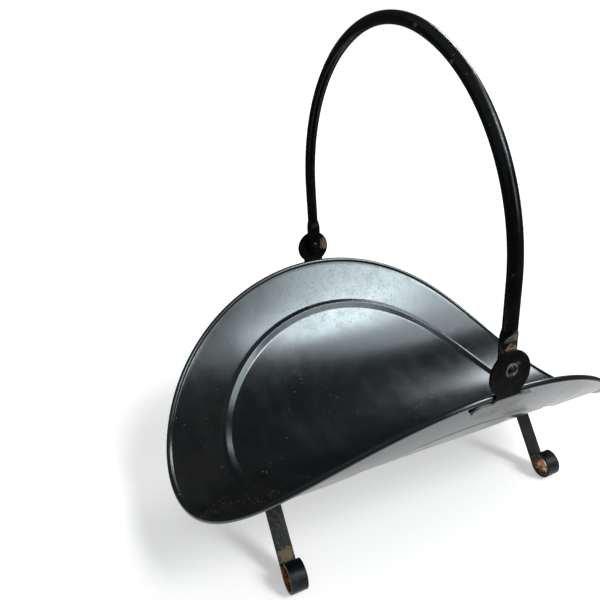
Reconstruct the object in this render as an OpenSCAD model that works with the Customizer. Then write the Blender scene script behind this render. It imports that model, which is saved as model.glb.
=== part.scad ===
// Log carrier: a round sheet pan bent into a trough, on two curled leg straps,
// with a hoop handle that swings on two rivets.
// Millimetres, +Z up. The floor is z = 0 and the trough runs along X.

/* [Pan] */
// Diameter of the round pan before it is bent, measured over its bead
pan_d = 480; // [400:5:576]
// Thickness of the steel sheet
sheet_t = 1; // [0.8:0.1:1.4]
// Slope of the pan at the middle of its front and rear edges, in degrees
edge_slope = 60.9; // [48:0.1:68]
// How early the pan bends: 1 is a plain arc, more bends it nearer the middle
bend_fullness = 1.45; // [1:0.05:1.5]
// Height of the underside of the flange above the floor, where it is lowest
ground_gap = 63.3; // [50:0.1:90]
// Diameter of the rolled bead round the edge
bead_d = 5.4; // [4.5:0.1:7]
// How far the bead stands above the inner face of the flange
flange_drop = 1.5; // [1:0.1:2.4]
// Width of the flange, from the pressed rib to the outside of the bead
flange_w = 56.7; // [44:0.1:76]
// Width of the outer side of the rib, down to the flange
rib_out_w = 4.6; // [3:0.1:8]
// Width of the inner side of the rib, down to the panel
rib_in_w = 7.2; // [5:0.1:12]
// How far the middle panel is pressed up above the flange
panel_rise = 1.6; // [0.8:0.1:3]
// How far the crest of the rib stands above the panel
rib_rise = 2; // [1:0.1:3]

/* [Ears] */
// Diameter of the round upper plate of an ear
ear_d = 41; // [34:1:50]
// Thickness of the ear plate
ear_t = 2.2; // [1.8:0.1:4]
// Width of the ear at its fold, where it passes the bead
neck_w = 25.6; // [18:0.1:30]
// Height of the straight neck between the fold and the round plate
neck_h = 4.6; // [1:0.1:8]
// Radius of the half round tongue that lies on the outside of the flange
tongue_r = 31; // [26:1:40]
// Distance from the fold down to the straight edge of the tongue
tongue_drop = 4; // [4:0.5:8]
// Radius of the two corners of the tongue
tongue_corner = 6; // [3:0.5:9]
// How far the rivet sits above the middle of the round plate
pivot_rise = 3.6; // [0:0.1:5]
// Space between the ear plate and the bead
ear_gap = 0.1; // [0.1:0.05:0.5]

/* [Handle] */
// Diameter of the round handle bar
bar_d = 12.5; // [10:0.1:16]
// Outward lean of the straight part of the handle, in degrees
leg_lean = 1.65; // [0:0.05:2.5]
// Length of the straight part, from the pivot to the first bend
leg_l = 74.3; // [62:0.1:90]
// How much larger the radius of the side bends is than the reach to an end of the bar
side_bulge = 8.5; // [4:0.1:16]
// How much smaller the radius of the crown is than that of the side bends
crown_tuck = 20.9; // [17:0.1:60]
// How far the handle rests tipped over, in degrees, towards -X
rest_tip = 1.3; // [0:0.1:3]
// Width of the flattened end of the bar
eye_w = 16; // [14:0.5:20]
// Thickness of the flattened end of the bar
eye_t = 5.9; // [5:0.1:8]
// How far the flat of the bar reaches past the edge of the ear
flat_past = 0.8; // [0.6:0.1:6]
// Length of the forged change from flat to round
taper_l = 12; // [8:1:16]
// Free play between the flattened end and the ear, and under the rivet's inner head
side_play = 0.4; // [0.3:0.05:0.6]

/* [Pivot rivets] */
// Diameter of the rivet shank
rivet_d = 6; // [5:0.1:8]
// Radial clearance between the rivet and the handle
pin_clear = 0.08; // [0.03:0.01:0.1]
// How much wider than the shank the outer head is
head_over = 3; // [2:0.1:6]
// Height of the outer head
head_h = 1.8; // [1:0.1:3]
// How much wider than the shank the inner head is
tail_over = 2; // [1.5:0.1:5]
// Height of the inner head
tail_h = 1.4; // [1:0.1:3]
// How much wider than the outer head the washer is
washer_over = 3; // [1:0.1:6]
// Thickness of the washer between the ear and the outer head
washer_t = 1; // [0.6:0.1:2]

/* [Leg straps] */
// Width of a leg strap
strap_w = 16; // [12:0.5:20]
// Thickness of a leg strap
strap_t = 3.2; // [2:0.1:4]
// How far inside the edge of the panel the corners of a strap lie
strap_inset = 1.9; // [0.5:0.1:40]
// Distance along the pan from its lowest line to where a strap turns down
strap_leave = 35; // [26:1:42]
// Radius of that turn, at the middle of the strap
turn_r = 6; // [4:0.5:10]
// Distance of the left feet from the middle of the trough
left_spread = 103.2; // [86:0.1:125]
// Distance of the right feet from the middle of the trough
right_spread = 91.1; // [78:0.1:113]
// Outer diameter of the curl at a foot
curl_d = 27.4; // [20:0.1:34]
// How far a curl goes round, in degrees
curl_turn = 262; // [225:1:290]
// Depth of the flat worn under each foot
foot_wear = 0.2; // [0.1:0.05:0.4]

/* [Hidden] */
$fn = 64;

// Space left at a welded seat, and radial clearance of a rivet in its ear and washer
weld_gap = 0.1;
rivet_gap = 0.05;

// How far below level the handle can swing, in degrees
swing_dip = 20;

// How finely the pan is divided: round the disc, and along its radius
pan_sides = 84;
panel_rings = 8;
rib_in_rings = 2;
rib_out_rings = 3;
flange_rings = 4;
bead_steps = 11;
trough_steps = 120;

// How finely the curves of the other pieces are divided
corner_steps = 8;
tongue_steps = 36;
bend_steps = 6;
bar_sides = 24;
taper_rings = 5;
side_rings = 14;
crown_rings = 6;
belly_steps = 10;
turn_steps = 8;
curl_steps = 48;

// Where the bar starts inside its flattened end, how far inside its faces, and
// how much squarer than round its section is there
eye_root = 10;
eye_inset = 0.05;
eye_square = 0.8;

pan_r = pan_d / 2;
bead_r = bead_d / 2;
rib_r = pan_r - flange_w - rib_out_w;
panel_r = rib_r - rib_in_w;
bead_top_z = ground_gap + sheet_t + flange_drop;

// Slope of the bent pan at a distance s from its lowest line, along the sheet
function slope(s) =
    let (u = s / pan_r)
    edge_slope * (bend_fullness * u - (bend_fullness - 1) * pow(u, 3));

// Cross-section of the bent pan, as [s, distance across, height], by small steps
step_s = pan_r / trough_steps;
trough = [
    for (i = 0, p = [0, 0];
         i <= trough_steps;
         i = i + 1,
         p = p + step_s * [cos(slope((i - 0.5) * step_s)), sin(slope((i - 0.5) * step_s))])
    [i * step_s, p.x, p.y]
];
trough_y = [for (p = trough) [p[0], p[1]]];
trough_z = [for (p = trough) [p[0], p[2]]];

// A place [across, up] on the pan: s along it and h above the level of the bead's top
function across(s, h) = [
    lookup(s, trough_y) - h * sin(slope(s)),
    bead_top_z + lookup(s, trough_z) + h * cos(slope(s))
];

// The same place in space, for a point x, s of the flat disc
function bent(x, s, h) =
    let (p = across(abs(s), h))
    [x, sign(s) * p.x, p.y];

function ease(t) = t * t * (3 - 2 * t);

// Section of the flat disc as [radius, height], out along the inner face over the
// pressed rib, round the bead and back along the outer face
panel_h = panel_rise - flange_drop;
crest_h = panel_h + rib_rise;
bead_in = 180 - asin((bead_r - flange_drop) / bead_r);
bead_out = -180 - asin((bead_r - flange_drop - sheet_t) / bead_r);
flange_end = pan_r - bead_r + bead_r * cos(bead_in);
inner_face = concat(
    [for (i = [1 : panel_rings]) [panel_r * i / panel_rings, panel_h]],
    [for (i = [1 : rib_in_rings])
        [panel_r + rib_in_w * i / rib_in_rings, panel_h + rib_rise * i / rib_in_rings]],
    [for (i = [1 : rib_out_rings])
        let (t = i / rib_out_rings)
        [rib_r + rib_out_w * t, crest_h - (crest_h + flange_drop) * ease(t)]],
    [for (i = [1 : flange_rings - 1])
        [pan_r - flange_w + (flange_end - pan_r + flange_w) * i / flange_rings, -flange_drop]]
);
bead = [
    for (i = [0 : bead_steps])
    let (a = bead_in + (bead_out - bead_in) * i / bead_steps)
    [pan_r - bead_r + bead_r * cos(a), bead_r * (sin(a) - 1)]
];
outer_face = [
    for (i = [len(inner_face) - 1 : -1 : 0])
    [inner_face[i].x, inner_face[i].y - sheet_t]
];
pan_section = concat(inner_face, bead, outer_face);

// The bead where it passes an ear
bead_mid = across(pan_r - bead_r, -bead_r);
ear_in = bead_mid.x + bead_r + ear_gap;

// The tongue leans from the outside of the bead down to the outer face of the flange
tongue_foot = across(pan_r - bead_r - tongue_drop - tongue_r,
                     -flange_drop - sheet_t - weld_gap);
tongue_reach = bead_mid - tongue_foot;
tongue_slope = atan2(tongue_reach.y, tongue_reach.x)
    - asin((bead_r + ear_gap) / norm(tongue_reach));
fold_z = tongue_foot.y + (ear_in - tongue_foot.x) * tan(tongue_slope);
disc_z = fold_z + neck_h + sqrt(pow(ear_d / 2, 2) - pow(neck_w / 2, 2));
pivot_z = disc_z + pivot_rise;

// The handle: three arcs over two straight legs, seen along X from its pivot
leg_y = ear_in - side_play - eye_t / 2;
side_r = leg_y + side_bulge;
crown_r = side_r - crown_tuck;
flat_l = ear_d / 2 + pivot_rise * sin(swing_dip) + flat_past;
bend_start = [leg_y + leg_l * sin(leg_lean), leg_l * cos(leg_lean)];
side_mid = bend_start + side_r * [-cos(leg_lean), sin(leg_lean)];
side_end = acos(-side_mid.x / (side_r - crown_r));
crown_mid_z = side_mid.y + (side_r - crown_r) * sin(side_end);

// Rivet: one head is inside the handle, the other is outside the ear, on a washer
tail_y = leg_y - eye_t / 2 - side_play;
washer_y = ear_in + ear_t;
head_y = washer_y + washer_t;
head_d = rivet_d + head_over;
tail_d = rivet_d + tail_over;
washer_d = head_d + washer_over;

// Leg strap: along the underside of the panel, round the turn, down the leg, round the curl
strap_top = panel_h - sheet_t - weld_gap;
strap_x = sqrt(pow(panel_r - strap_inset, 2) - pow(strap_leave, 2)) - strap_w / 2;
curl_r = (curl_d - strap_t) / 2;
turn_in = slope(strap_leave);
turn_mid = across(strap_leave, strap_top - strap_t / 2) + turn_r * [sin(turn_in), -cos(turn_in)];
curl_z = curl_d / 2 - foot_wear;
function leg_reach(spread) = [spread, curl_z] - turn_mid;
function leg_angle(spread) =
    atan2(leg_reach(spread).y, leg_reach(spread).x)
    - asin((turn_r + curl_r) / norm(leg_reach(spread)));

// Turns a shape drawn across and up so that its thickness runs along X
module upright() {
    rotate([90, 0, 90]) children();
}

// The rear piece is drawn, and the front one is its mirror image
module at_front() {
    mirror([0, 1, 0]) children();
}

// A closed skin over rings of points, with one point at each end
module skin(first, rings, last) {
    n = len(rings[0]);
    end = len(rings) - 1;
    points = concat([first], [for (ring = rings) for (p = ring) p], [last]);
    function at(k, j) = 1 + k * n + j % n;
    faces = concat(
        [for (j = [0 : n - 1]) [0, at(0, j + 1), at(0, j)]],
        [for (k = [0 : end - 1]) for (j = [0 : n - 1])
            [at(k, j), at(k, j + 1), at(k + 1, j + 1)]],
        [for (k = [0 : end - 1]) for (j = [0 : n - 1])
            [at(k, j), at(k + 1, j + 1), at(k + 1, j)]],
        [for (j = [0 : n - 1]) [at(end, j), at(end, j + 1), len(points) - 1]]
    );
    polyhedron(points, faces);
}

module pan() {
    rings = [
        for (p = pan_section) [
            for (j = [0 : pan_sides - 1])
            let (a = 360 * j / pan_sides)
            bent(p.x * cos(a), p.x * sin(a), p.y)
        ]
    ];
    color("dimgray")
    skin(bent(0, 0, panel_h), rings, bent(0, 0, panel_h - sheet_t));
}

// Outline of the tongue, with y as the distance below the fold
module tongue_outline() {
    side = sqrt(pow(tongue_r - tongue_corner, 2) - pow(tongue_corner, 2));
    side_a = atan2(tongue_corner, side);
    neck_top = -2 * ear_t * tan(90 - tongue_slope);
    right_corner = [
        for (i = [0 : corner_steps])
        let (a = -90 + (90 + side_a) * i / corner_steps)
        [side, tongue_drop + tongue_corner] + tongue_corner * [cos(a), sin(a)]
    ];
    tip = [
        for (i = [1 : tongue_steps - 1])
        let (a = side_a + (180 - 2 * side_a) * i / tongue_steps)
        [0, tongue_drop] + tongue_r * [cos(a), sin(a)]
    ];
    left_corner = [
        for (i = [corner_steps : -1 : 0])
        [-right_corner[i].x, right_corner[i].y]
    ];
    neck = [for (x = [-1, 1]) for (y = [tongue_drop, neck_top])
        [x * neck_w / 2, x < 0 ? y : tongue_drop + neck_top - y]];
    polygon(concat(right_corner, tip, left_corner, neck));
}

// Side view of the ear plate, from the end of the tongue over the fold to the top
module ear_section() {
    fold = [ear_in, fold_z];
    bend = [
        for (i = [0 : bend_steps])
        let (a = (tongue_slope - 90) * (1 - i / bend_steps))
        fold + ear_t * [cos(a), sin(a)]
    ];
    down = ear_t * [sin(tongue_slope), -cos(tongue_slope)];
    top_z = pivot_z + ear_d;
    polygon(concat([fold, tongue_foot, tongue_foot + down], bend,
        [[ear_in + ear_t, top_z], [ear_in, top_z]]));
}

module ear() {
    hole_l = 4 * ear_t;
    difference() {
        intersection() {
            translate([-ear_d, 0, 0])
            upright()
            linear_extrude(2 * ear_d)
            ear_section();
            union() {
                translate([0, ear_in + 2 * ear_t, disc_z])
                rotate([90, 0, 0])
                cylinder(d = ear_d, h = 3 * ear_t);
                translate([-neck_w / 2, ear_in - ear_t, fold_z])
                cube([neck_w, 3 * ear_t, disc_z - fold_z]);
                translate([0, ear_in, fold_z])
                rotate([180 + tongue_slope, 0, 0])
                translate([0, 0, -ear_t])
                linear_extrude(3 * ear_t)
                tongue_outline();
            }
        }
        translate([0, ear_in + hole_l / 2, pivot_z])
        rotate([90, 0, 0])
        cylinder(r = rivet_d / 2 + rivet_gap, h = hole_l);
    }
}

module front_ear() {
    color("#1b1c20")
    at_front()
    ear();
}

module rear_ear() {
    color("#1b1c20")
    ear();
}

// One half of the handle's centre line, from inside the flat up to the crown, as
// [across, up, angle of the outward side, half thickness, half width, squareness]
function bar_place(u, v, out, flat) = [
    u, v, out,
    bar_d / 2 + flat * (eye_t / 2 - eye_inset - bar_d / 2),
    bar_d / 2 + flat * (eye_w / 2 - eye_inset - bar_d / 2),
    1 + flat * eye_square
];
function leg_place(v, flat) = bar_place(leg_y + (1 - flat) * v * tan(leg_lean), v, -leg_lean, flat);
half_bar = concat(
    [leg_place(eye_root, 1)],
    [for (i = [0 : taper_rings])
        leg_place(flat_l + taper_l * i / taper_rings, 1 - ease(i / taper_rings))],
    [for (i = [0 : side_rings])
        let (a = -leg_lean + (side_end + leg_lean) * i / side_rings)
        bar_place(side_mid.x + side_r * cos(a), side_mid.y + side_r * sin(a), a, 0)],
    [for (i = [1 : crown_rings])
        let (a = side_end + (90 - side_end) * i / crown_rings)
        bar_place(crown_r * cos(a), crown_mid_z + crown_r * sin(a), a, 0)]
);

// A place on the surface of the bar, for the ring at p and a turn of a about it
function bar_point(p, side, a) =
    let (out = max(-1, min(1, p[5] * cos(a))) * p[3])
    [
        max(-1, min(1, p[5] * sin(a))) * p[4],
        side * (p[0] + out * cos(p[2])),
        p[1] + out * sin(p[2])
    ];

module bar() {
    half = len(half_bar);
    count = 2 * half - 1;
    rings = [
        for (k = [0 : count - 1])
        let (p = half_bar[k < half ? k : count - 1 - k], side = k < half ? 1 : -1)
        [for (j = [0 : bar_sides - 1]) bar_point(p, side, 360 * j / bar_sides)]
    ];
    root = half_bar[0];
    skin([0, root[0], root[1]], rings, [0, -root[0], root[1]]);
}

// The flattened end of the bar, round at its tip
module eye() {
    translate([0, leg_y + eye_t / 2, 0])
    rotate([90, 0, 0])
    cylinder(d = eye_w, h = eye_t);
    translate([-eye_w / 2, leg_y - eye_t / 2, 0])
    cube([eye_w, eye_t, flat_l]);
}

module handle() {
    color("#15161a")
    translate([0, 0, pivot_z])
    rotate([0, -rest_tip, 0])
    difference() {
        union() {
            bar();
            eye();
            at_front()
            eye();
        }
        for (side = [-1, 1]) {
            translate([0, side * leg_y + eye_t, 0])
            rotate([90, 0, 0])
            cylinder(r = rivet_d / 2 + pin_clear, h = 2 * eye_t);
        }
    }
}

// A low round cap on the plane z = 0, turned upwards
module cap(d, h) {
    cap_r = (pow(d / 2, 2) + pow(h, 2)) / (2 * h);
    intersection() {
        translate([0, 0, h - cap_r])
        sphere(r = cap_r);
        translate([-d / 2, -d / 2, 0])
        cube([d, d, h]);
    }
}

module rivet() {
    translate([0, tail_y - tail_h / 2, pivot_z])
    rotate([-90, 0, 0])
    cylinder(d = rivet_d, h = head_y + head_h / 2 - tail_y + tail_h / 2);
    translate([0, tail_y, pivot_z])
    rotate([90, 0, 0])
    cap(tail_d, tail_h);
    translate([0, head_y, pivot_z])
    rotate([-90, 0, 0])
    cap(head_d, head_h);
}

module front_rivet() {
    color("#232428")
    at_front()
    rivet();
}

module rear_rivet() {
    color("#232428")
    rivet();
}

module washer() {
    translate([0, head_y, pivot_z])
    rotate([90, 0, 0])
    difference() {
        cylinder(d = washer_d, h = washer_t);
        translate([0, 0, -washer_t])
        cylinder(r = rivet_d / 2 + rivet_gap, h = 3 * washer_t);
    }
}

module front_washer() {
    color("#2e2f31")
    at_front()
    washer();
}

module rear_washer() {
    color("#2e2f31")
    washer();
}

// One half of a strap's middle line, as [across, up, direction]: along the underside
// of the panel, round the turn, down the leg and round the curl
function strap_line(spread) =
    let (lean = leg_angle(spread))
    concat(
        [for (i = [0 : belly_steps])
            let (s = strap_leave * i / belly_steps, p = across(s, strap_top - strap_t / 2))
            [p.x, p.y, slope(s)]],
        [for (i = [1 : turn_steps])
            let (a = turn_in + (lean - turn_in) * i / turn_steps)
            [turn_mid.x - turn_r * sin(a), turn_mid.y + turn_r * cos(a), a]],
        [for (i = [0 : curl_steps])
            let (a = lean + curl_turn * i / curl_steps)
            [spread + curl_r * sin(a), curl_z - curl_r * cos(a), a]]
    );

// The same line moved over by o, to the left of its direction
function strap_edge(spread, o) = [
    for (p = strap_line(spread)) [p[0] - o * sin(p[2]), p[1] + o * cos(p[2])]
];

function turned(list) = [for (i = [len(list) - 1 : -1 : 0]) list[i]];
function mirrored(list) = [for (p = list) [-p.x, p.y]];

module leg_strap(x, spread) {
    top = strap_edge(spread, strap_t / 2);
    under = strap_edge(spread, -strap_t / 2);
    far_top = turned([for (i = [1 : len(top) - 1]) top[i]]);
    far_under = [for (i = [1 : len(under) - 1]) under[i]];
    foot_l = 2 * curl_d;
    translate([x, 0, 0])
    difference() {
        translate([-strap_w / 2, 0, 0])
        upright()
        linear_extrude(strap_w)
        polygon(concat(mirrored(far_top), top, turned(under), mirrored(far_under)));
        for (side = [-1, 1]) {
            translate([-strap_w, side * spread - foot_l / 2, -curl_d])
            cube([2 * strap_w, foot_l, curl_d]);
        }
    }
}

module left_leg_strap() {
    color("#22262a")
    leg_strap(-strap_x, left_spread);
}

module right_leg_strap() {
    color("#22262a")
    leg_strap(strap_x, right_spread);
}

pan();
front_ear();
rear_ear();
handle();
front_rivet();
rear_rivet();
front_washer();
rear_washer();
left_leg_strap();
right_leg_strap();
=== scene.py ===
import math

import bmesh
import bpy
from mathutils import Matrix, Vector, noise


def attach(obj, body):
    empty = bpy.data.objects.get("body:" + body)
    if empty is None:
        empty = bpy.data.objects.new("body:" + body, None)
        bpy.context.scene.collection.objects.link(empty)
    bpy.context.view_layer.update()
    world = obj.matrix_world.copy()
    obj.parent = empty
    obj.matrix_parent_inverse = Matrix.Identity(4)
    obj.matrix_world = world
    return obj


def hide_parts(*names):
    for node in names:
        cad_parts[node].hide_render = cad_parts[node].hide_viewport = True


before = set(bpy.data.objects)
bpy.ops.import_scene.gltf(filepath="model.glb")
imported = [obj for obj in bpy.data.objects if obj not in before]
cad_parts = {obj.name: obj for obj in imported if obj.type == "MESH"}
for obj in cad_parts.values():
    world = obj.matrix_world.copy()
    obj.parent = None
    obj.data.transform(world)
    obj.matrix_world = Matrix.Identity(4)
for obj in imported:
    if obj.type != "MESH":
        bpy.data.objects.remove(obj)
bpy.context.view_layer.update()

MM = 0.001

# The round pan and the way it is bent
PAN_R = 240 * MM
SHEET_T = 1 * MM
EDGE_SLOPE = math.radians(60.9)
BEND_FULLNESS = 1.45
GROUND_GAP = 63.3 * MM
BEAD_R = 2.7 * MM
FLANGE_DROP = 1.5 * MM
FLANGE_W = 56.7 * MM
RIB_OUT_W = 4.6 * MM
RIB_IN_W = 7.2 * MM
PANEL_RISE = 1.6 * MM
RIB_RISE = 2 * MM

# The pressed rib's rounding, and the flat stretches that lead to it and away from it
RIB_ROUND = 0.9 * MM
RIB_LEAD_IN = 3 * MM
RIB_LEAD_OUT = 4 * MM

# Where the flange turns up into the bead, and where the rolled edge tucks in under it;
# BEAD_OPEN is how much of the bead's circle each takes, in degrees
BEAD_FILLET = 1.1 * MM
BEAD_OPEN = 26
FILLET_H = -0.85 * FLANGE_DROP
TUCK_H = -FLANGE_DROP - 1.2 * SHEET_T

# Slight unevenness of the sheet
SHEET_WAVE = 0.12 * MM
WAVE_LENGTH = 70 * MM

# The ears
EAR_D = 41 * MM
EAR_T = 2.2 * MM
NECK_W = 25.6 * MM
NECK_H = 4.6 * MM
TONGUE_R = 31 * MM
TONGUE_DROP = 4 * MM
TONGUE_CORNER = 6 * MM
PIVOT_RISE = 3.6 * MM
BEAD_GAP = 0.1 * MM
WELD_GAP = 0.1 * MM
FOLD_R = 0.6 * MM
EAR_ROUND = 0.45 * MM
EAR_MARGIN = 1.2 * MM

# The handle, from the pivot up
BAR_R = 6.25 * MM
LEG_LEAN = math.radians(1.65)
LEG_L = 74.3 * MM
SIDE_BULGE = 8.5 * MM
CROWN_TUCK = 20.9 * MM
REST_TIP = math.radians(1.3)
EYE_W = 16 * MM
EYE_T = 5.9 * MM
FLAT_PAST = 0.8 * MM
SWING_DIP = math.radians(20)
TAPER_L = 12 * MM
SIDE_PLAY = 0.4 * MM

# Sections of the handle: 2 is an ellipse, and a higher number is squarer
ROUND_SECTION = 2
FLAT_SECTION = 7

# The eye's tip: its least half width, and how much thinner it is and how suddenly
TIP_HALF_W = 0.6 * MM
TIP_THINNING = 0.2
TIP_POWER = 6

# The pivot rivets and their washers
RIVET_R = 3 * MM
PIN_CLEAR = 0.08 * MM
RIVET_GAP = 0.05 * MM
HEAD_R = 4.5 * MM
HEAD_H = 1.8 * MM
TAIL_R = 4 * MM
TAIL_H = 1.4 * MM
WASHER_R = 6 * MM
WASHER_T = 1 * MM
WASHER_ROUND = 0.3 * MM

# The leg straps
STRAP_W = 16 * MM
STRAP_T = 3.2 * MM
STRAP_INSET = 1.9 * MM
STRAP_LEAVE = 35 * MM
TURN_R = 6 * MM
LEFT_SPREAD = 103.2 * MM
RIGHT_SPREAD = 91.1 * MM
CURL_D = 27.4 * MM
CURL_TURN = math.radians(262)
FOOT_WEAR = 0.2 * MM
STRAP_ROUND = 0.55 * MM
STRAP_END_ROUND = 0.35 * MM

# How finely the pan is divided
TROUGH_STEPS = 480
PAN_SIDES = 288
PANEL_RINGS = 28
CORNER_STEPS = 4
FLANGE_RINGS = 12
BEAD_STEPS = 28

# How finely the ears are divided
DISC_STEPS = 56
TONGUE_CORNER_STEPS = 8
TONGUE_STEPS = 44
FOLD_STEPS = 8

# How finely the handle is divided
BAR_SIDES = 36
TIP_STEPS = 9
FLAT_STEPS = 5
TAPER_STEPS = 14
LEG_STEPS = 9
SIDE_STEPS = 48
CROWN_STEPS = 24

# How finely the rivets, the washers and the bores are divided
RIVET_SIDES = 64
CAP_STEPS = 12
WASHER_SIDES = 80
WASHER_ROUND_STEPS = 4
BORE_SIDES = 48

# How finely the straps are divided; STRAP_CORNER is the points on each rounded corner
STRAP_CORNER = 5
UNDER_STEPS = 16
TURN_STEPS = 12
STRAP_LEG_STEPS = 8
CURL_STEPS = 72

# Vertices closer than SAME_PLACE become one, a vertex nearer than ON_THE_CUT to a cut
# lies on it, and edges sharper than SHARP_ANGLE show as edges
SAME_PLACE = 1e-6
ON_THE_CUT = 1e-7
SHARP_ANGLE = math.radians(35)

# The camera, at the photograph's own viewing angle
CAMERA_PLACE = Vector((-0.31245, -0.50464, 0.46682))
CAMERA_AZIMUTH = math.radians(-26.221)
CAMERA_ELEVATION = math.radians(18.786)
CAMERA_ROLL = math.radians(-1.010)
CAMERA_LENS = 36.470
CAMERA_SENSOR = 36
CAMERA_SHIFT = (-0.0531, -0.0761)

# The studio floor: its half width, and how far out it still lights the carrier
FLOOR_HALF = 40
FLOOR_CELLS = 8
FLOOR_LIT_R = 0.30
FLOOR_FADE = 0.20
FLOOR_GLOW = 0.48
FLOOR_PALE = (0.88, 0.88, 0.88)
FLOOR_DARK = (0.03, 0.03, 0.03)

# The even sky: what lights the carrier, and what the camera meets
SKY_LIGHT = (0.06, 0.065, 0.07)
SKY_SEEN = (1, 1, 1)

# The soft lights: azimuth and elevation in degrees, strength, and width in degrees.
# Azimuth 0 is from -Y, and 90 is from +X.
LIGHTS = {
    "key_top": (35, 47, 0.95, 13),
    "key_foot": (35, 36, 0.85, 13),
    "low": (24, 17, 0.45, 20),
    "right": (57, 48, 0.7, 26),
    "side": (120, 34, 1.35, 22),
    "fill": (-85, 50, 0.35, 90),
}


# Shape of the bent sheet

def slope(s):
    """Slope of the bent pan at a distance s from its lowest line, along the sheet. The
    sheet bends more near that line than near its edge when BEND_FULLNESS is over 1."""
    u = s / PAN_R
    return EDGE_SLOPE * (BEND_FULLNESS * u - (BEND_FULLNESS - 1) * u ** 3)


def trough_line():
    """The bent sheet seen along X, as places (across, up) at equal steps along it."""
    step = PAN_R / TROUGH_STEPS
    line = [Vector((0, 0))]
    for i in range(TROUGH_STEPS):
        a = slope((i + 0.5) * step)
        line.append(line[-1] + step * Vector((math.cos(a), math.sin(a))))
    return line


BEAD_TOP_Z = GROUND_GAP + SHEET_T + FLANGE_DROP
TROUGH = trough_line()


def across(s, h):
    """A place (across, up) on the pan: s along it, h above the level of the bead's top."""
    at = s / PAN_R * TROUGH_STEPS
    i = min(int(at), TROUGH_STEPS - 1)
    on_line = TROUGH[i].lerp(TROUGH[i + 1], at - i)
    a = slope(s)
    return Vector((on_line.x - h * math.sin(a), BEAD_TOP_Z + on_line.y + h * math.cos(a)))


def bent(p):
    """A point of the flat disc, carried to its place on the bent pan."""
    place = across(abs(p.y), p.z)
    return Vector((p.x, math.copysign(place.x, p.y), place.y))


def ease(t):
    """A smooth rise from 0 to 1."""
    return t * t * (3 - 2 * t)


# Radii and levels of the flat disc

RIB_R = PAN_R - FLANGE_W - RIB_OUT_W
PANEL_R = RIB_R - RIB_IN_W
PANEL_H = PANEL_RISE - FLANGE_DROP
CREST_H = PANEL_H + RIB_RISE

# The tongue leans from the outside of the bead down to the outer face of the flange

BEAD_MID = across(PAN_R - BEAD_R, -BEAD_R)
EAR_IN = BEAD_MID.x + BEAD_R + BEAD_GAP
TONGUE_FOOT = across(PAN_R - BEAD_R - TONGUE_DROP - TONGUE_R,
                     -FLANGE_DROP - SHEET_T - WELD_GAP)
TONGUE_REACH = BEAD_MID - TONGUE_FOOT
TONGUE_SLOPE = (math.atan2(TONGUE_REACH.y, TONGUE_REACH.x)
                - math.asin((BEAD_R + BEAD_GAP) / TONGUE_REACH.length))
FOLD_Z = TONGUE_FOOT.y + (EAR_IN - TONGUE_FOOT.x) * math.tan(TONGUE_SLOPE)
FOLD_TURN = math.pi / 2 - TONGUE_SLOPE
FOLD_START = FOLD_R * math.tan(FOLD_TURN / 2)
FOLD_L = FOLD_R * FOLD_TURN

# Places of the pivot, the handle, the rivets and the straps

DISC_UP = math.sqrt((EAR_D / 2) ** 2 - (NECK_W / 2) ** 2)
PIVOT_Z = FOLD_Z + NECK_H + DISC_UP + PIVOT_RISE
LEG_Y = EAR_IN - SIDE_PLAY - EYE_T / 2
FLAT_L = EAR_D / 2 + PIVOT_RISE * math.sin(SWING_DIP) + FLAT_PAST
SIDE_R = LEG_Y + SIDE_BULGE
CROWN_R = SIDE_R - CROWN_TUCK
TAIL_Y = LEG_Y - EYE_T / 2 - SIDE_PLAY
HEAD_Y = EAR_IN + EAR_T + WASHER_T
STRAP_X = math.sqrt((PANEL_R - STRAP_INSET) ** 2 - STRAP_LEAVE ** 2) - STRAP_W / 2


# Helpers for meshes

def chain(bm, points):
    """A few vertices joined in a line."""
    verts = [bm.verts.new(p) for p in points]
    return verts, [bm.edges.new(pair) for pair in zip(verts, verts[1:])]


def only(kind, geom):
    """What is of one kind, among what an operator gives back."""
    return [g for g in geom if isinstance(g, kind)]


def turn_round(bm, points, axis, steps):
    """A section, given by its points, spun once round an axis through the origin."""
    verts, edges = chain(bm, points)
    bmesh.ops.spin(bm, geom=verts + edges, cent=(0, 0, 0), axis=axis,
                   angle=math.tau, steps=steps, use_merge=True)
    bmesh.ops.remove_doubles(bm, verts=bm.verts, dist=SAME_PLACE)
    bmesh.ops.recalc_face_normals(bm, faces=bm.faces)


def sweep(bm, stations, sides, place):
    """A tube over stations; place(station, k) puts the point k of each ring."""
    count = bm.verts.layers.int.new("count")
    ring = bmesh.ops.create_circle(bm, segments=sides, radius=1)["verts"]
    for k, v in enumerate(ring):
        v[count] = k
    edges = list(bm.edges)
    for n, station in enumerate(stations):
        if n:
            made = bmesh.ops.extrude_edge_only(bm, edges=edges)["geom"]
            ring = only(bmesh.types.BMVert, made)
            edges = [e for e in only(bmesh.types.BMEdge, made)
                     if all(v in set(ring) for v in e.verts)]
        for v in ring:
            v.co = place(station, v[count])
    bmesh.ops.holes_fill(bm, edges=bm.edges, sides=0)
    bmesh.ops.recalc_face_normals(bm, faces=bm.faces)


def flat_ends(bm):
    """The faces with more than four corners: a plate's two faces, or a bar's two ends."""
    return [f for f in bm.faces if len(f.verts) > 4]


def round_rims(bm, width, segments, limited):
    """Rounds the edges of the flat ends; limited stops it where there is no room."""
    rims = {e for f in flat_ends(bm) for e in f.edges}
    bmesh.ops.bevel(bm, geom=list(rims), offset=width, affect="EDGES", segments=segments,
                    profile=0.5, material=-1, clamp_overlap=limited)


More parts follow.
